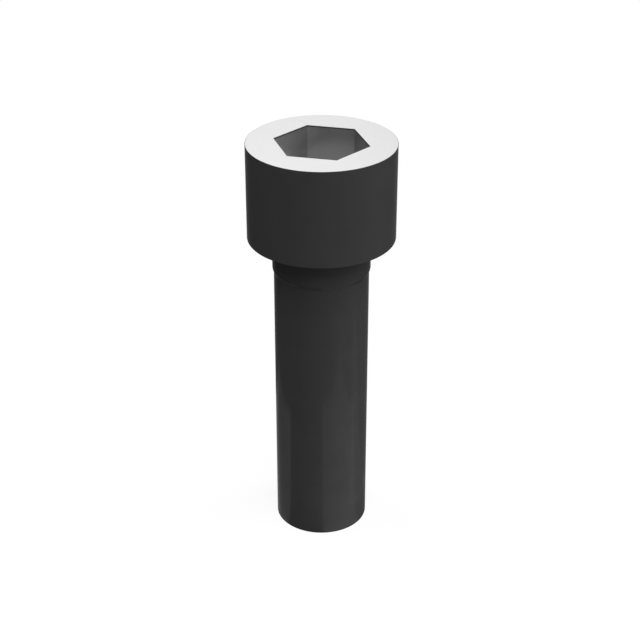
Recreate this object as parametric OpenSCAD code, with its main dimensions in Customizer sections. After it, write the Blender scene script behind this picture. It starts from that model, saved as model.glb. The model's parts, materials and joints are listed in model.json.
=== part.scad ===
// Socket head bolt: a cylindrical head with a hexagon socket on a round shank, all one piece.
// Sizes are in millimetres. The origin is the centre of the head's underside, which bears on
// the work, and +Z runs up through the head. The length that carries the thread is drawn as a
// plain round shank, a little thinner than the neck above it.

/* [Head] */
// Diameter of the head
head_d = 18; // [15:0.1:24]
// Height of the head, from its underside to its faced top
head_h = 12; // [10:0.1:20]
// Chamfer round the rim of the faced top
rim_break = 0.05; // [0.05:0.05:1]
// Chamfer round the lower edge of the head's side
skirt_break = 0.05; // [0.05:0.05:0.8]

/* [Hexagon socket] */
// Width across the flats
socket_flats = 10; // [5:0.1:13]
// Depth of the flats below the faced top
socket_depth = 6; // [3:0.1:8]
// Bevel along the six edges of the mouth
mouth_break = 0.05; // [0.05:0.05:0.5]
// Full angle of the cone that the drill leaves in the floor
floor_angle = 120; // [90:1:150]
// Ledge left between the floor's cone and the middle of each flat
floor_ledge = 0.1; // [0.05:0.05:1]

/* [Neck] */
// Diameter of the plain neck
neck_d = 12; // [11.7:0.1:14]
// Length of the plain neck below the head
neck_length = 4.1; // [1:0.1:30]
// Radius of the fillet between the neck and the head
fillet_r = 0.6; // [0.2:0.1:0.8]

/* [Shank] */
// Length of the bolt below the head
bolt_length = 40; // [10:1:120]
// Diameter of the shank below the neck
shank_d = 11.65; // [8:0.05:11.9]
// Length of the cone where the neck runs out into the shank
run_out_length = 0.4; // [0.1:0.05:2]
// Chamfer round the flat end
end_break = 0.05; // [0.05:0.05:1.5]

/* [Finish] */
// Colour of the forged and turned outside
outside_colour = "#303030"; // [#303030:Black, #8f9296:Bare steel]
// Colour of the faced top
faced_colour = "#e6e6e6"; // [#e6e6e6:Bright, #303030:Black]
// Colour inside the socket
socket_colour = "#5c5c5c"; // [#5c5c5c:Grey, #303030:Black]

/* [Hidden] */
$fn = 120;

head_r = head_d / 2;
neck_r = neck_d / 2;
shank_r = shank_d / 2;
// Height of the floor where the socket's flats end
socket_floor_z = head_h - socket_depth;
floor_cone_r = socket_flats / 2 - floor_ledge;
floor_cone_h = floor_cone_r / tan(floor_angle / 2);
// Height left on the forged head for the facing cut
facing_stock = 0.5;
// How far a cutting shape reaches past the surface that it cuts
over = 1;

// Half section of the forged and turned blank, right of the axis, with no fillet
module blank_section() {
    polygon([
        [0, -bolt_length],
        [shank_r - end_break, -bolt_length],
        [shank_r, -bolt_length + end_break],
        [shank_r, -neck_length - run_out_length],
        [neck_r, -neck_length],
        [neck_r, 0],
        [head_r - skirt_break, 0],
        [head_r, skirt_break],
        [head_r, head_h + facing_stock],
        [0, head_h + facing_stock]
    ]);
}

// Section of the fillet in the corner between the neck and the head's underside
module fillet_section() {
    difference() {
        translate([neck_r - fillet_r, -fillet_r])
            square([2 * fillet_r, 2 * fillet_r]);
        translate([neck_r + fillet_r, -fillet_r])
            circle(r = fillet_r);
    }
}

module blank() {
    rotate_extrude() {
        blank_section();
        fillet_section();
    }
}

// What facing removes: the stock above the top, and the corner at its rim
module facing_cut() {
    rotate_extrude()
        polygon([
            [0, head_h],
            [head_r - rim_break, head_h],
            [head_r + over, head_h - rim_break - over],
            [head_r + over, head_h + facing_stock + over],
            [0, head_h + facing_stock + over]
        ]);
}

// Section of the socket across two opposite flats, flared at the mouth
module socket_section() {
    half = socket_flats / 2;
    polygon([
        [-half, socket_floor_z],
        [half, socket_floor_z],
        [half, head_h - mouth_break],
        [half + mouth_break + over, head_h + over],
        [-half - mouth_break - over, head_h + over],
        [-half, head_h - mouth_break]
    ]);
}

// The hexagon is what three such slots, a sixth of a turn apart, have in common.
// Two of its corners lie on the X axis.
module hexagon_cut() {
    intersection_for (turn = [30, 90, 150])
        rotate([90, 0, turn])
            linear_extrude(height = 2 * head_d, center = true)
                socket_section();
}

// The drill's point, which leaves a cone below the flats
module drill_cut() {
    rotate_extrude()
        polygon([
            [0, socket_floor_z - floor_cone_h],
            [floor_cone_r, socket_floor_z],
            [floor_cone_r, socket_floor_z + over],
            [0, socket_floor_z + over]
        ]);
}

module socket_head_bolt() {
    difference() {
        color(outside_colour) blank();
        color(faced_colour) facing_cut();
        color(socket_colour) {
            hexagon_cut();
            drill_cut();
        }
    }
}

socket_head_bolt();
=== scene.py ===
# Socket head bolt in black-finished steel with a bright faced top, standing on a pale floor.
# The bolt is one revolve made by a Geometry Nodes tree, whose rows turn from round to
# hexagonal inside the socket. Lengths are in metres and the origin is the centre of the
# head's underside.
import json
import math
from typing import NamedTuple

import bmesh
import bpy
from bpy.props import FloatProperty, FloatVectorProperty, IntProperty, PointerProperty
from mathutils import Matrix, Vector


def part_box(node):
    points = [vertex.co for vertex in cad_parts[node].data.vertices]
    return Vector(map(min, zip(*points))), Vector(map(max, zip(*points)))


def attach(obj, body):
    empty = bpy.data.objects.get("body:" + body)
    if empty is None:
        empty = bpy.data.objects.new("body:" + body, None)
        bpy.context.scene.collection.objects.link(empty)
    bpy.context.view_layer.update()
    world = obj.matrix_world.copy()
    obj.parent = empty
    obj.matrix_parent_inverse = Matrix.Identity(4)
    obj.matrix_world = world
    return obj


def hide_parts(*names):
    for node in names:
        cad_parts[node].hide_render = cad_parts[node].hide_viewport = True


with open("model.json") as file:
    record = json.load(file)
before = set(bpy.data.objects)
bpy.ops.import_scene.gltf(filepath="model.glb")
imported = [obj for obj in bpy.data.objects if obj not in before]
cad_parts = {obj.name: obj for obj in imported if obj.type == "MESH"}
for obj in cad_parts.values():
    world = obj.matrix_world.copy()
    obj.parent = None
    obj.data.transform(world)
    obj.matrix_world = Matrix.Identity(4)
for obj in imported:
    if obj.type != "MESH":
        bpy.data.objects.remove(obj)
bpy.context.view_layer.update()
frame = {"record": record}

bl_info = {
    "name": "Socket Head Bolt",
    "version": (1, 0, 0),
    "blender": (4, 5, 0),
    "location": "3D View > Sidebar > Bolt",
    "description": "Builds a socket head bolt and the studio that it stands in",
    "category": "Add Mesh",
}

MM = 0.001
NODE = "socket_head_bolt"
PIECE = "bolt"

# The stated opening stays this far inside the socket's walls and floor.
OPENING_CLEARANCE = 0.05 * MM


def mount_radius(name):
    """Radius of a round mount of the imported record."""
    return mounts[name]["dims"]["r_mm"] * MM


def mount_ends(name):
    """Lowest and highest point of a round mount's wall along the bolt's axis."""
    middle = mounts[name]["pos_m"][2]
    half = mounts[name]["dims"]["length_mm"] * MM / 2
    return middle - half, middle + half


mounts = {mount["name"]: mount for mount in frame["record"]["mounts"]}
bolt_low, bolt_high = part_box(NODE)
neck_bottom, neck_top = mount_ends("neck")
shank_bottom, shank_top = mount_ends("shank")
side_bottom, side_top = mount_ends("head_side")
opening_low, opening_high = frame["record"]["physics"]["openings"][0]["box_m"]


# Settings that a user would change


def length(name, description, default):
    """A positive length with Blender's own unit."""
    return FloatProperty(
        name=name, description=description, default=default, min=0.0,
        unit="LENGTH", subtype="DISTANCE", precision=5,
    )


def colour(name, description, default):
    """A colour in Blender's linear values."""
    return FloatVectorProperty(
        name=name, description=description, default=default, size=3,
        min=0.0, max=1.0, subtype="COLOR",
    )


def share(name, description, default):
    """A number from 0 to 1."""
    return FloatProperty(
        name=name, description=description, default=default, min=0.0, max=1.0, subtype="FACTOR",
    )


class BoltSizes(bpy.types.PropertyGroup):
    """Sizes of the bolt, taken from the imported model."""

    head_diameter: length("Head Diameter", "Across the head", 2 * mount_radius("head_side"))
    head_height: length("Head Height", "From the underside to the faced top", bolt_high.z)
    rim_round: length("Rim Round", "Radius at the rim of the top", bolt_high.z - side_top)
    skirt_round: length("Skirt Round", "Radius at the head's lower edge", side_bottom)
    socket_width: length(
        "Socket Width", "Across the flats of the hexagon",
        2 * (opening_high[1] + OPENING_CLEARANCE),
    )
    socket_depth: length(
        "Socket Depth", "Depth of the flats", bolt_high.z - opening_low[2] + OPENING_CLEARANCE
    )
    mouth_round: length("Mouth Round", "Radius along the socket's mouth", 0.05 * MM)
    floor_ledge: length("Floor Ledge", "Ledge round the cone in the floor", 0.1 * MM)
    floor_angle: FloatProperty(
        name="Floor Angle", description="Full angle of the cone in the floor",
        default=math.radians(120), min=math.radians(60), max=math.radians(170), subtype="ANGLE",
    )
    neck_diameter: length("Neck Diameter", "Across the plain neck", 2 * mount_radius("neck"))
    neck_length: length("Neck Length", "From the head down to the run-out", -neck_bottom)
    fillet_radius: length("Fillet Radius", "Fillet between neck and head", -neck_top)
    shank_diameter: length("Shank Diameter", "Across the shank", 2 * mount_radius("shank"))
    run_out_length: length("Run-out Length", "Cone from neck to shank", neck_bottom - shank_top)
    run_out_round: length("Run-out Round", "Radius at the cone's ends", 0.8 * MM)
    bolt_length: length("Bolt Length", "Length below the head", -bolt_low.z)
    end_round: length("End Round", "Radius at the flat end", shank_bottom - bolt_low.z)
    segments: IntProperty(
        name="Segments", description="Segments round the axis, in sixes",
        default=192, min=24, step=6,
    )


class BoltFinish(bpy.types.PropertyGroup):
    """Colours of the bolt's three finishes."""

    black: colour("Black Finish", "Outside of the bolt", (0.0395, 0.0395, 0.0405))
    bright: colour("Faced Steel", "The flat top", (0.63, 0.63, 0.63))
    grey: colour("Socket Steel", "Inside the socket", (0.485, 0.485, 0.485))


class StudioSettings(bpy.types.PropertyGroup):
    """Floor, light and camera."""

    floor_colour: colour("Floor Colour", "Pale studio floor", (0.82, 0.82, 0.82))
    floor_bounce: share("Floor Bounce", "How much of its light the floor sends back up", 0.11)
    near_white: share("White Near", "How much of the floor by the bolt looks plain white", 0.85)
    fade_radius: length("Fade Radius", "Beyond this distance the floor is plain white", 70 * MM)
    ambient: share("Ambient Light", "Even light from all round", 0.12)
    azimuth: FloatProperty(
        name="Camera Azimuth", description="Turn of the camera round the bolt, from the -Y side",
        default=math.radians(12.89), subtype="ANGLE",
    )
    elevation: FloatProperty(
        name="Camera Elevation", description="Height of the camera above the horizon",
        default=math.radians(28.54), subtype="ANGLE",
    )
    distance: length("Camera Distance", "From the camera to the point it looks at", 182.28 * MM)
    lens: FloatProperty(
        name="Lens", description="Focal length on a 36 mm sensor", default=82.4, unit="CAMERA",
    )


# Node trees


class Builder:
    """Adds nodes to a tree and feeds their inputs, by name or number, with values or sockets."""

    def __init__(self, tree):
        self.tree = tree

    def add(self, kind, inputs=None, **settings):
        node = self.tree.nodes.new(kind)
        for name, value in settings.items():
            setattr(node, name, value)
        self.feed(node, inputs or {})
        return node

    def feed(self, node, inputs):
        for key, value in inputs.items():
            if isinstance(value, bpy.types.NodeSocket):
                self.tree.links.new(value, node.inputs[key])
            else:
                node.inputs[key].default_value = value

    def math(self, operation, *values):
        """The result of a math node on one, two or three values."""
        node = self.add("ShaderNodeMath", dict(enumerate(values)), operation=operation)
        return node.outputs[0]

    def sum(self, *values):
        total = values[0]
        for value in values[1:]:
            total = self.math("ADD", total, value)
        return total

    def half(self, value):
        return self.math("MULTIPLY", value, 0.5)

    def minus(self, *values):
        """The sum of the values with its sign turned."""
        return self.math("MULTIPLY", self.sum(*values), -1.0)

    def compare(self, operation, first, second):
        """A yes or no field for Geometry Nodes."""
        node = self.add(
            "FunctionNodeCompare", {0: first, 1: second}, data_type="FLOAT", operation=operation
        )
        return node.outputs[0]

    def both(self, first, second):
        node = self.add("FunctionNodeBooleanMath", {0: first, 1: second}, operation="AND")
        return node.outputs[0]


# Room for one node in the editor
NODE_WIDTH = 220
NODE_HEIGHT = 180


def arrange(tree):
    """Lays the nodes out in columns, each to the right of what feeds it."""
    column = {node: 0 for node in tree.nodes}
    for _ in tree.nodes:
        moved = False
        for link in tree.links:
            if column[link.to_node] <= column[link.from_node]:
                column[link.to_node] = column[link.from_node] + 1
                moved = True
        if not moved:
            break
    filled = {}
    for node in tree.nodes:
        row = filled.get(column[node], 0)
        node.location = (column[node] * NODE_WIDTH, -row * NODE_HEIGHT)
        filled[column[node]] = row + 1


def switch_by_index(build, kind, values):
    """A field that gives each point the value at its own index."""
    index = build.add("GeometryNodeInputIndex").outputs[0]
    node = build.add("GeometryNodeIndexSwitch", data_type=kind)
    while len(node.index_switch_items) < len(values):
        node.index_switch_items.new()
    build.feed(node, {0: index})
    build.feed(node, {1 + place: value for place, value in enumerate(values)})
    return node.outputs[0]


TREE_SIZES = (
    "head_diameter", "head_height", "rim_round", "skirt_round", "socket_width", "socket_depth",
    "mouth_round", "floor_ledge", "floor_angle", "neck_diameter", "neck_length", "fillet_radius",
    "shank_diameter", "run_out_length", "run_out_round", "bolt_length", "end_round",
)
TREE_MATERIALS = ("Outside", "Faced Top", "Socket")
# Name of the attribute that is 1 on the profile's hexagonal rows
HEXAGON = "hexagon"
# Flats of the socket. The segments are a multiple of them, so that its corners stay sharp.
FLATS = 6
# Segments in the rounding of an edge, and in the fillet
EDGE_STEPS = 4
FILLET_STEPS = 16
# Points closer than this count as one.
CLOSE = 0.001 * MM
# Edges that bend by more than this are sharp.
SHARP_ANGLE = math.radians(8)
# The socket lies this near the axis, as a share of its width: its corners are at 0.577.
SOCKET_REACH = 0.6


class Corner(NamedTuple):
    """A corner of the profile: its place, its rounding, and 1 where the row is a hexagon."""

    radius: object
    height: object
    rounding: object = 0.0
    steps: int = 1
    hexagon: float = 0.0


def bolt_corners(build, size):
    """The profile's corners from the end's centre, out and up, and down into the socket."""
    shank_r = build.half(size["shank_diameter"])
    neck_r = build.half(size["neck_diameter"])
    head_r = build.half(size["head_diameter"])
    flat_r = build.half(size["socket_width"])
    cone_r = build.math("SUBTRACT", flat_r, size["floor_ledge"])
    cone_h = build.math("DIVIDE", cone_r, build.math("TANGENT", build.half(size["floor_angle"])))
    floor_z = build.math("SUBTRACT", size["head_height"], size["socket_depth"])
    tip_z = build.math("SUBTRACT", floor_z, cone_h)
    end_z = build.minus(size["bolt_length"])
    neck_z = build.minus(size["neck_length"])
    shank_z = build.minus(size["neck_length"], size["run_out_length"])
    corners = [
        Corner(0.0, end_z),
        Corner(shank_r, end_z, size["end_round"], EDGE_STEPS),
        Corner(shank_r, shank_z, size["run_out_round"], EDGE_STEPS),
        Corner(neck_r, neck_z, size["run_out_round"], EDGE_STEPS),
        Corner(neck_r, 0.0, size["fillet_radius"], FILLET_STEPS),
        Corner(head_r, 0.0, size["skirt_round"], EDGE_STEPS),
        Corner(head_r, size["head_height"], size["rim_round"], EDGE_STEPS),
        Corner(flat_r, size["head_height"], size["mouth_round"], EDGE_STEPS, hexagon=1.0),
        Corner(flat_r, floor_z, hexagon=1.0),
        Corner(cone_r, floor_z),
        Corner(0.0, tip_z),
    ]
    return corners, tip_z


def profile_curve(build, corners):
    """The rounded profile as a curve in the XZ plane, with the hexagon rows marked."""
    places = []
    for corner in corners:
        place = build.add("ShaderNodeCombineXYZ", {"X": corner.radius, "Z": corner.height})
        places.append(place.outputs[0])
    points = build.add(
        "GeometryNodePoints",
        {"Count": len(corners), "Position": switch_by_index(build, "VECTOR", places)},
    )
    curve = build.add("GeometryNodePointsToCurves", {"Points": points.outputs[0]})
    marked = build.add(
        "GeometryNodeStoreNamedAttribute",
        {
            "Geometry": curve.outputs[0],
            "Name": HEXAGON,
            "Value": switch_by_index(build, "FLOAT", [corner.hexagon for corner in corners]),
        },
        data_type="FLOAT",
        domain="POINT",
    )
    rounded = build.add(
        "GeometryNodeFilletCurve",
        {
            "Curve": marked.outputs[0],
            "Count": switch_by_index(build, "INT", [corner.steps for corner in corners]),
            "Radius": switch_by_index(build, "FLOAT", [corner.rounding for corner in corners]),
            "Limit Radius": True,
        },
        mode="POLY",
    )
    return rounded.outputs[0]


def revolve(build, profile, segments):
    """Turns the profile round Z as a grid of rows, squeezing the marked rows to a hexagon."""
    count = build.add(
        "GeometryNodeAttributeDomainSize", {"Geometry": profile}, component="CURVE"
    ).outputs["Point Count"]
    columns = build.math("ADD", segments, 1.0)
    grid = build.add("GeometryNodeMeshGrid", {"Vertices X": columns, "Vertices Y": count})
    index = build.add("GeometryNodeInputIndex").outputs[0]
    row = build.math("MODULO", index, count)
    column = build.math("FLOOR", build.math("DIVIDE", index, count))
    angle = build.math("DIVIDE", build.math("MULTIPLY", column, math.tau), segments)

    position = build.add("GeometryNodeInputPosition").outputs[0]
    place = build.add(
        "GeometryNodeSampleIndex", {"Geometry": profile, "Value": position, "Index": row},
        data_type="FLOAT_VECTOR", domain="POINT",
    )
    place = build.add("ShaderNodeSeparateXYZ", {0: place.outputs[0]})
    mark = build.add("GeometryNodeInputNamedAttribute", {"Name": HEXAGON}, data_type="FLOAT")
    hexagonal = build.add(
        "GeometryNodeSampleIndex", {"Geometry": profile, "Value": mark.outputs[0], "Index": row},
        data_type="FLOAT", domain="POINT",
    ).outputs[0]

    # On a hexagon the radius grows from the middle of a flat to the corners at 0, 60, 120...
    turn = math.tau / FLATS
    off_flat = build.math("SUBTRACT", build.math("MODULO", angle, turn), turn / 2)
    reach = build.math("DIVIDE", 1.0, build.math("COSINE", off_flat))
    extra = build.math("MULTIPLY", hexagonal, build.math("SUBTRACT", reach, 1.0))
    radius = build.math("MULTIPLY", place.outputs["X"], build.math("ADD", 1.0, extra))
    target = build.add(
        "ShaderNodeCombineXYZ",
        {
            "X": build.math("MULTIPLY", radius, build.math("COSINE", angle)),
            "Y": build.math("MULTIPLY", radius, build.math("SINE", angle)),
            "Z": place.outputs["Z"],
        },
    )
    turned = build.add(
        "GeometryNodeSetPosition",
        {"Geometry": grid.outputs["Mesh"], "Position": target.outputs[0]},
    )
    closed = build.add(
        "GeometryNodeMergeByDistance", {"Geometry": turned.outputs[0], "Distance": CLOSE}
    )
    return closed.outputs[0]


def label(key):
    """The name that a size's input carries in the tree."""
    return key.replace("_", " ").title()


def bolt_tree():
    """The Geometry Nodes tree that makes the bolt from its named sizes and three materials."""
    tree = bpy.data.node_groups.new("Socket Head Bolt", "GeometryNodeTree")
    face = tree.interface
    for key in TREE_SIZES:
        face.new_socket(label(key), in_out="INPUT", socket_type="NodeSocketFloat")
    face.new_socket("Segments", in_out="INPUT", socket_type="NodeSocketInt")
    for name in TREE_MATERIALS:
        face.new_socket(name, in_out="INPUT", socket_type="NodeSocketMaterial")
    face.new_socket("Geometry", in_out="OUTPUT", socket_type="NodeSocketGeometry")

    build = Builder(tree)
    given = build.add("NodeGroupInput").outputs
    size = {key: given[label(key)] for key in TREE_SIZES}
    corners, tip_z = bolt_corners(build, size)
    solid = revolve(build, profile_curve(build, corners), given["Segments"])

    smooth = build.add(
        "GeometryNodeSetShadeSmooth", {"Geometry": solid, "Shade Smooth": True}, domain="FACE"
    )
    bend = build.add("GeometryNodeInputMeshEdgeAngle").outputs["Unsigned Angle"]
    creased = build.add(
        "GeometryNodeSetShadeSmooth",
        {
            "Geometry": smooth.outputs[0],
            "Selection": build.compare("GREATER_THAN", bend, SHARP_ANGLE),
            "Shade Smooth": False,
        },
        domain="EDGE",
    )

    place = build.add("GeometryNodeInputPosition").outputs[0]
    height = build.add("ShaderNodeSeparateXYZ", {0: place}).outputs["Z"]
    flat_place = build.add("ShaderNodeVectorMath", {0: place, 1: (1, 1, 0)}, operation="MULTIPLY")
    radius = build.add("ShaderNodeVectorMath", {0: flat_place.outputs[0]}, operation="LENGTH")
    # The facing cut bares the flat top only: its rim and the socket's mouth keep the black.
    top_z = build.math("SUBTRACT", size["head_height"], CLOSE)
    on_top = build.compare("GREATER_THAN", height, top_z)
    mouth_z = build.math("SUBTRACT", size["head_height"], size["mouth_round"])
    over_floor = build.compare("GREATER_THAN", height, tip_z)
    under_mouth = build.compare("LESS_THAN", height, mouth_z)
    socket_r = build.math("MULTIPLY", size["socket_width"], SOCKET_REACH)
    near_axis = build.compare("LESS_THAN", radius.outputs["Value"], socket_r)
    inside = build.both(build.both(over_floor, under_mouth), near_axis)

    mesh = build.add("GeometryNodeRealizeInstances", {"Geometry": creased.outputs[0]}).outputs[0]
    for name, chosen in zip(TREE_MATERIALS, (True, on_top, inside)):
        finish = build.add(
            "GeometryNodeSetMaterial",
            {"Geometry": mesh, "Selection": chosen, "Material": given[name]},
        )
        mesh = finish.outputs[0]
    build.add("NodeGroupOutput", {"Geometry": mesh})
    arrange(tree)
    return tree


# Finishes


def new_material(name):
    """A material with an empty tree, its builder and its Principled shader."""
    material = bpy.data.materials.new(name)
    material.use_nodes = True
    material.node_tree.nodes.clear()
    build = Builder(material.node_tree)
    shader = build.add("ShaderNodeBsdfPrincipled")
    build.add("ShaderNodeOutputMaterial", {"Surface": shader.outputs[0]})
    return material, build, shader


def turning_marks(build, pitch, wander):
    """Fine rings, as a lathe tool leaves them: round a side, and concentric on a flat face.

    They are about a pitch apart and drift by as much as the wander.
    """
    place = build.add("ShaderNodeTexCoord").outputs["Object"]
    apart = build.add("ShaderNodeSeparateXYZ", {0: place}).outputs
    squares = [build.math("POWER", apart[axis], 2.0) for axis in ("X", "Y")]
    across = build.math("ADD", build.math("SQRT", build.sum(*squares)), apart["Z"])
    drift = mottle(build, size=8 * MM, detail=2.0)
    across = build.math("ADD", across, build.math("MULTIPLY", drift, wander))
    rings = build.add(
        "ShaderNodeTexNoise",
        {"W": build.math("DIVIDE", across, pitch), "Scale": 1.0, "Detail": 3.0, "Roughness": 0.6},
        noise_dimensions="1D",
    )
    return rings.outputs["Fac"]


def upright_marks(build, width, height):
    """Streaks along the axis, about this wide and high, from 0 to 1."""
    place = build.add("ShaderNodeTexCoord").outputs["Object"]
    drawn = build.add(
        "ShaderNodeMapping", {"Vector": place, "Scale": (1 / width, 1 / width, 1 / height)}
    )
    streaks = build.add(
        "ShaderNodeTexNoise", {"Vector": drawn.outputs[0], "Scale": 1.0, "Detail": 3.0}
    )
    return streaks.outputs["Fac"]


def mottle(build, size, detail=3.0):
    """Soft uneven patches of about this size, from 0 to 1."""
    place = build.add("ShaderNodeTexCoord").outputs["Object"]
    noise = build.add("ShaderNodeTexNoise", {"Vector": place, "Scale": 1 / size, "Detail": detail})
    return noise.outputs["Fac"]


def spread(build, factor, low, high):
    """Maps 0..1 to low..high."""
    node = build.add("ShaderNodeMapRange", {"Value": factor, "To Min": low, "To Max": high})
    return node.outputs[0]


def scaled(build, colour, share_left):
    """The colour times a field."""
    node = build.add("ShaderNodeVectorMath", {0: colour, "Scale": share_left}, operation="SCALE")
    return node.outputs[0]


def tinted(build, base, factor, change):
    """The base colour, up to this share darker or lighter where the factor is low or high."""
    return scaled(build, tuple(base), spread(build, factor, 1 - change, 1 + change))


def axis_height(build):
    """Height above the head's underside."""
    place = build.add("ShaderNodeTexCoord").outputs["Object"]
    return build.add("ShaderNodeSeparateXYZ", {0: place}).outputs["Z"]


def relief(build, height, depth, strength):
    """The normal of a surface that this height field roughens, at full strength by the depth."""
    node = build.add("ShaderNodeBump", {"Height": height, "Distance": depth, "Strength": strength})
    return node.outputs[0]


# The ring of painted shade on the run-out is darkest up to the first distance from its middle and
# gone at the second. It keeps this share of the colour.
RING_CORE = 0.1 * MM
RING_REACH = 0.4 * MM
RING_PAINTED_SHADE = 0.9


def painted_run_out_shade(build, sizes):
    """1 in a thin ring of painted shade on the run-out between neck and shank, fading to 0 above
    and below.
    """
    middle = sizes.neck_length + sizes.run_out_length / 2
    ring = build.add(
        "ShaderNodeMapRange",
        {
            "Value": build.math("ABSOLUTE", build.math("ADD", axis_height(build), middle)),
            "From Min": RING_CORE,
            "From Max": RING_REACH,
            "To Min": 1.0,
            "To Max": 0.0,
        },
        interpolation_type="SMOOTHSTEP",
    )
    return ring.outputs[0]


def black_finish(finish, sizes):
    """Black oxide on turned steel, with a ring of painted shade on the run-out."""
    material, build, shader = new_material("black_finish")
    rings = turning_marks(build, pitch=0.08 * MM, wander=0.05 * MM)
    patches = mottle(build, size=3 * MM)
    grain = mottle(build, size=0.15 * MM, detail=2.0)
    colour = tinted(build, finish.black, patches, change=0.10)
    # Painted shade: the colour is a little darker in a ring on the run-out.
    kept = spread(build, painted_run_out_shade(build, sizes), low=1.0, high=RING_PAINTED_SHADE)
    build.feed(shader, {
        "Base Color": scaled(build, colour, kept),
        "Roughness": spread(build, rings, low=0.08, high=0.16),
        "Metallic": 0.167,
        "Specular IOR Level": 0.0,
        "Specular Tint": (0.5, 0.5, 0.5, 1.0),
        "Normal": relief(build, build.sum(rings, grain), depth=0.01 * MM, strength=0.06),
    })
    return material


def faced_finish(finish):
    """Bright steel with the concentric marks of the facing cut."""
    material, build, shader = new_material("faced_steel")
    rings = turning_marks(build, pitch=0.06 * MM, wander=0.01 * MM)
    patches = mottle(build, size=4 * MM)
    build.feed(shader, {
        "Base Color": tinted(build, finish.bright, patches, change=0.02),
        "Roughness": spread(build, rings, low=0.24, high=0.34),
        "Metallic": 1.0,
        "Normal": relief(build, rings, depth=0.004 * MM, strength=0.10),
    })
    return material


# Painted light and shade along the flats of the socket, anticlockwise from the corner on -X: the
# share of the colour at the first and the last corner of each
FLAT_PAINTED_SHADE = (
    (1.06, 0.96), (0.94, 1.08), (1.00, 0.92), (1.06, 0.80), (0.86, 1.20), (0.94, 1.36),
)
# A colour ramp holds values up to 1, so the shares are stored divided by this.
PAINTED_SHADE_RANGE = 1.4
# One flat's painted light and shade gives way to the next within this share of a flat from their
# corner.
CORNER_BLEND = 0.005


def painted_flat_shade(build, sizes):
    """Share of the colour along the flats of the socket, as painted light and shade. Its floor
    keeps all of it.
    """
    place = build.add("ShaderNodeTexCoord").outputs["Object"]
    apart = build.add("ShaderNodeSeparateXYZ", {0: place}).outputs
    angle = build.math("ARCTAN2", apart["Y"], apart["X"])
    turn = build.math("DIVIDE", build.math("ADD", angle, math.pi), math.tau)
    # Painted light and shade: the ramp makes each flat lighter or darker along its width.
    ramp = build.add("ShaderNodeValToRGB", {"Fac": turn})
    stops = ramp.color_ramp.elements
    for flat, shares in enumerate(FLAT_PAINTED_SHADE):
        for along, share_left in zip((CORNER_BLEND, 1 - CORNER_BLEND), shares):
            level = share_left / PAINTED_SHADE_RANGE
            stops.new((flat + along) / FLATS).color = (level, level, level, 1.0)
    # The two stops that a new ramp comes with
    stops.remove(stops[-1])
    stops.remove(stops[0])
    shade_level = build.math("MULTIPLY", ramp.outputs["Color"], PAINTED_SHADE_RANGE)
    floor_z = sizes.head_height - sizes.socket_depth
    on_flats = build.math("GREATER_THAN", apart["Z"], floor_z + CLOSE)
    change = build.math("MULTIPLY", on_flats, build.math("SUBTRACT", shade_level, 1.0))
    return build.math("ADD", change, 1.0)


# Height of the band of painted shade on the flats under the mouth, and the share of the colour
# that it keeps
MOUTH_SHADE_HEIGHT = 0.1 * MM
MOUTH_PAINTED_SHADE = 0.25


def painted_mouth_shade(build, sizes):
    """Share of the colour in the socket: little in the band of painted shade under the mouth, all
    below it.
    """
    mouth_shade_z = sizes.head_height - sizes.mouth_round - MOUTH_SHADE_HEIGHT
    # Painted shade: a dark band on the flats just under the mouth.
    in_mouth_shade = build.math("GREATER_THAN", axis_height(build), mouth_shade_z)
    return spread(build, in_mouth_shade, low=1.0, high=MOUTH_PAINTED_SHADE)


def socket_finish(finish, sizes):
    """Grey steel with the punch's upright marks on the flats, painted light and shade along the
    flats and painted shade under the mouth.
    """
    material, build, shader = new_material("socket_steel")
    streaks = upright_marks(build, width=0.08 * MM, height=4 * MM)
    patches = mottle(build, size=2 * MM)
    colour = tinted(build, finish.grey, patches, change=0.08)
    # Painted light and shade along the flats, times painted shade under the mouth
    share_left = build.math("MULTIPLY", painted_flat_shade(build, sizes), painted_mouth_shade(build, sizes))
    build.feed(shader, {
        "Base Color": scaled(build, colour, share_left),
        "Roughness": spread(build, streaks, low=0.14, high=0.28),
        "Metallic": 0.9,
        "Normal": relief(build, streaks, depth=0.006 * MM, strength=0.12),
    })
    return material


# The bolt


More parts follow.
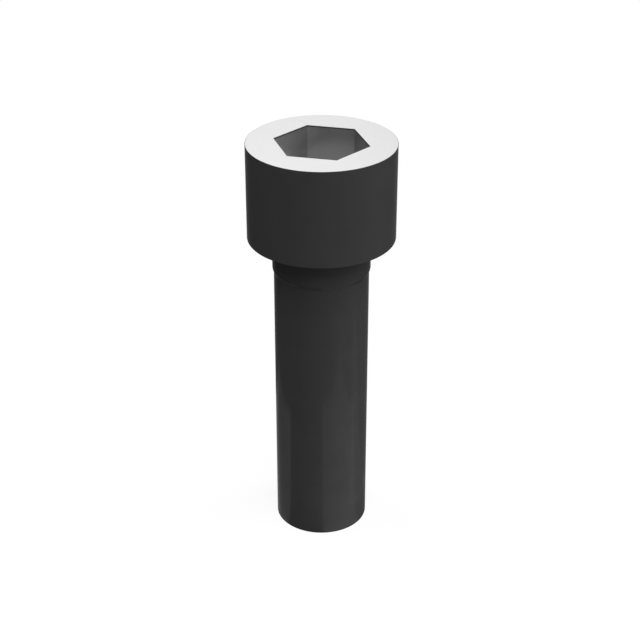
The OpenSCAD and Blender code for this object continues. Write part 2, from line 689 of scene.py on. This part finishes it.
class BOLT_OT_bolt(bpy.types.Operator):
    """Build the bolt as one closed mesh with its three finishes"""

    bl_idname = "mesh.socket_head_bolt"
    bl_label = "Socket Head Bolt"
    bl_options = {"REGISTER", "UNDO"}

    def execute(self, context):
        sizes = context.scene.bolt_sizes
        finish = context.scene.bolt_finish
        bolt = bpy.data.objects.new(PIECE, bpy.data.meshes.new(PIECE))
        context.scene.collection.objects.link(bolt)
        modifier = bolt.modifiers.new("Bolt", "NODES")
        modifier.node_group = bolt_tree()
        values = {label(key): getattr(sizes, key) for key in TREE_SIZES}
        values["Segments"] = sizes.segments - sizes.segments % FLATS
        made = (black_finish(finish, sizes), faced_finish(finish), socket_finish(finish, sizes))
        values.update(zip(TREE_MATERIALS, made))
        for item in modifier.node_group.interface.items_tree:
            if item.in_out == "INPUT":
                modifier[item.identifier] = values[item.name]
        seen = bolt.evaluated_get(context.evaluated_depsgraph_get())
        mesh = bpy.data.meshes.new_from_object(seen)
        bolt.modifiers.remove(modifier)
        bolt.data = mesh
        mesh.name = PIECE
        self.test(mesh)
        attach(bolt, "root")
        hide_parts(NODE)
        return {"FINISHED"}

    def test(self, mesh):
        """Stops on an open or inside-out mesh, and on one that lacks a finish."""
        shape = bmesh.new()
        shape.from_mesh(mesh)
        gaps = sum(1 for edge in shape.edges if not edge.is_manifold)
        volume = shape.calc_volume(signed=True)
        shape.free()
        if gaps or volume <= 0:
            raise RuntimeError(f"the bolt has {gaps} open edges and a volume of {volume:.3g}")
        used = {polygon.material_index for polygon in mesh.polygons}
        if len(used) != len(TREE_MATERIALS):
            raise RuntimeError(f"the bolt shows {len(used)} finishes of {len(TREE_MATERIALS)}")


# The studio


def towards(azimuth, elevation):
    """Unit vector from the bolt at this azimuth, counted like the camera's, and elevation."""
    level = math.cos(elevation)
    return Vector((math.sin(azimuth) * level, -math.cos(azimuth) * level, math.sin(elevation)))


def aim(thing, place, target):
    """Puts a lamp or camera at a place and points it at the target."""
    thing.location = place
    thing.rotation_euler = (target - place).to_track_quat("-Z", "Y").to_euler()


def seen_as_background(build):
    """1 for camera, mirror and see-through rays, and 0 for the rest."""
    path = build.add("ShaderNodeLightPath").outputs
    some = build.math("MAXIMUM", path["Is Camera Ray"], path["Is Glossy Ray"])
    return build.math("MAXIMUM", some, path["Is Transmission Ray"])


def studio_world(studio):
    """White where it is seen, and even soft light where it lights the bolt."""
    world = bpy.data.worlds.new("studio")
    bpy.context.scene.world = world
    world.use_nodes = True
    world.node_tree.nodes.clear()
    build = Builder(world.node_tree)
    strength = spread(build, seen_as_background(build), studio.ambient, 1.0)
    light = build.add("ShaderNodeBackground", {"Color": (1, 1, 1, 1), "Strength": strength})
    build.add("ShaderNodeOutputWorld", {"Surface": light.outputs[0]})


def floor_material(studio):
    """A pale floor that fades to plain white away from the bolt, and is open from below."""
    material = bpy.data.materials.new("floor")
    material.use_nodes = True
    material.node_tree.nodes.clear()
    build = Builder(material.node_tree)
    place = build.add("ShaderNodeTexCoord").outputs["Object"]
    away = build.add("ShaderNodeVectorMath", {0: place, 1: (1, 1, 0)}, operation="MULTIPLY")
    away = build.add("ShaderNodeVectorMath", {0: away.outputs[0]}, operation="LENGTH")
    fade = build.add(
        "ShaderNodeMapRange",
        {
            "Value": away.outputs["Value"],
            "From Max": studio.fade_radius,
            "To Min": studio.near_white,
            "To Max": 1.0,
        },
        interpolation_type="SMOOTHSTEP",
    )
    seen = seen_as_background(build)
    bounce = spread(build, seen, studio.floor_bounce, 1.0)
    painted = scaled(build, tuple(studio.floor_colour), bounce)
    paint = build.add("ShaderNodeBsdfDiffuse", {"Color": painted})
    white = build.add("ShaderNodeEmission", {"Color": (1, 1, 1, 1), "Strength": 1.0})
    shown = build.math("MULTIPLY", fade.outputs[0], seen)
    look = build.add("ShaderNodeMixShader", {0: shown, 1: paint.outputs[0], 2: white.outputs[0]})
    under = build.add("ShaderNodeNewGeometry").outputs["Backfacing"]
    clear = build.add("ShaderNodeBsdfTransparent")
    sided = build.add("ShaderNodeMixShader", {0: under, 1: look.outputs[0], 2: clear.outputs[0]})
    build.add("ShaderNodeOutputMaterial", {"Surface": sided.outputs[0]})
    return material


def soft_light(name, across, along, brightness):
    """A rectangular lamp that the camera doesn't see. At brightness 1 it would look white."""
    lamp = bpy.data.lights.new(name, "AREA")
    lamp.shape = "RECTANGLE"
    lamp.size = across
    lamp.size_y = along
    lamp.energy = brightness * math.pi * across * along
    item = bpy.data.objects.new(name, lamp)
    item.visible_camera = False
    bpy.context.scene.collection.objects.link(item)
    return item


def soft_box(name, azimuth, elevation, distance, size, brightness, mirrored):
    """A square lamp aimed at the bolt, which is either mirrored in it or only lights it."""
    box = soft_light(name, size, size, brightness)
    box.visible_diffuse = not mirrored
    box.visible_glossy = mirrored
    place = towards(math.radians(azimuth), math.radians(elevation)) * distance
    aim(box, place, Vector((0, 0, 0)))


def floor_card(name, place, azimuth, across, along, brightness, lift):
    """A card just over the floor at this place, its second side along the azimuth, shining up."""
    card = soft_light(name, across, along, brightness)
    card.location = (place.x, place.y, bolt_low.z + lift)
    card.rotation_euler = (math.pi, 0, azimuth)


# Name, azimuth and elevation in degrees, distance and size in metres, brightness, mirrored or not
SOFT_BOXES = (
    ("key_light", 110, 40, 0.60, 0.36, 5.6, False),
    ("low_light", 70, 25, 0.60, 0.36, 3.5, False),
    ("front_light", 20, 55, 0.60, 0.36, 6.4, False),
    ("side_light", -90, 55, 0.60, 0.36, 5.3, False),
    ("back_light", 206, 42, 0.50, 0.30, 0.62, True),
)
# Two square cards on the floor, corner to corner under the bolt: name, azimuth from that corner,
# size, brightness
FLOOR_CARDS = (
    ("front_card", 60, 32 * MM, 0.95),
    ("back_card", -117, 32 * MM, 1.55),
)
CARD_CORNER = towards(math.radians(18), 0) * 3.5 * MM
CARD_LIFT = 0.1 * MM
# A strip that lies over the front card and points away from the bolt
STRIP_AZIMUTH = math.radians(100)
STRIP_START = 9 * MM
STRIP_LENGTH = 50 * MM
STRIP_WIDTH = 12 * MM
STRIP_BRIGHTNESS = 0.7
STRIP_LIFT = 0.15 * MM
# The camera looks at a point on the axis, this far below the head, and a little to its side.
AIM_BELOW = 11.62 * MM
AIM_SIDE = -0.18 * MM
CLIP_START = 0.01
CLIP_END = 10.0
FLOOR_RADIUS = 1.5
FLOOR_SEGMENTS = 64


class BOLT_OT_studio(bpy.types.Operator):
    """Build the pale floor, the soft lights and the camera"""

    bl_idname = "scene.bolt_studio"
    bl_label = "Bolt Studio"
    bl_options = {"REGISTER", "UNDO"}

    def execute(self, context):
        scene = context.scene
        studio = scene.bolt_studio
        studio_world(studio)

        shape = bmesh.new()
        bmesh.ops.create_circle(
            shape, cap_ends=True, segments=FLOOR_SEGMENTS, radius=FLOOR_RADIUS
        )
        mesh = bpy.data.meshes.new("floor")
        shape.transform(Matrix.Translation((0, 0, bolt_low.z)))
        shape.to_mesh(mesh)
        shape.free()
        mesh.materials.append(floor_material(studio))
        floor = bpy.data.objects.new("floor", mesh)
        scene.collection.objects.link(floor)

        for box in SOFT_BOXES:
            soft_box(*box)
        for name, azimuth, size, brightness in FLOOR_CARDS:
            half_diagonal = size * math.sqrt(0.5)
            place = CARD_CORNER + towards(math.radians(azimuth), 0) * half_diagonal
            side = math.radians(azimuth - 45)
            floor_card(name, place, side, size, size, brightness, CARD_LIFT)
        middle = towards(STRIP_AZIMUTH, 0) * (STRIP_START + STRIP_LENGTH / 2)
        floor_card(
            "strip", middle, STRIP_AZIMUTH, STRIP_WIDTH, STRIP_LENGTH, STRIP_BRIGHTNESS, STRIP_LIFT
        )

        camera = bpy.data.objects.new("camera", bpy.data.cameras.new("camera"))
        scene.collection.objects.link(camera)
        camera.data.lens = studio.lens
        camera.data.clip_start = CLIP_START
        camera.data.clip_end = CLIP_END
        side = Vector((math.cos(studio.azimuth), math.sin(studio.azimuth), 0))
        target = side * AIM_SIDE - Vector((0, 0, AIM_BELOW))
        back = towards(studio.azimuth, studio.elevation)
        aim(camera, target + back * studio.distance, target)
        scene.camera = camera
        scene.view_settings.view_transform = "Standard"
        return {"FINISHED"}


class BOLT_PT_panel(bpy.types.Panel):
    """Sizes, finishes and studio of the bolt"""

    bl_idname = "BOLT_PT_panel"
    bl_label = "Socket Head Bolt"
    bl_space_type = "VIEW_3D"
    bl_region_type = "UI"
    bl_category = "Bolt"

    def draw(self, context):
        layout = self.layout
        for title, group, operator in (
            ("Sizes", context.scene.bolt_sizes, None),
            ("Finish", context.scene.bolt_finish, BOLT_OT_bolt),
            ("Studio", context.scene.bolt_studio, BOLT_OT_studio),
        ):
            box = layout.box()
            box.label(text=title)
            for name in group.bl_rna.properties.keys():
                if name not in {"rna_type", "name"}:
                    box.prop(group, name)
            if operator:
                box.operator(operator.bl_idname)


GROUPS = {"bolt_sizes": BoltSizes, "bolt_finish": BoltFinish, "bolt_studio": StudioSettings}
CLASSES = (*GROUPS.values(), BOLT_OT_bolt, BOLT_OT_studio, BOLT_PT_panel)


def register():
    for item in CLASSES:
        bpy.utils.register_class(item)
    for name, group in GROUPS.items():
        setattr(bpy.types.Scene, name, PointerProperty(type=group))


def unregister():
    for name in GROUPS:
        delattr(bpy.types.Scene, name)
    for item in reversed(CLASSES):
        bpy.utils.unregister_class(item)


def main():
    register()
    bpy.ops.mesh.socket_head_bolt()
    bpy.ops.scene.bolt_studio()


if __name__ == "__main__":
    main()
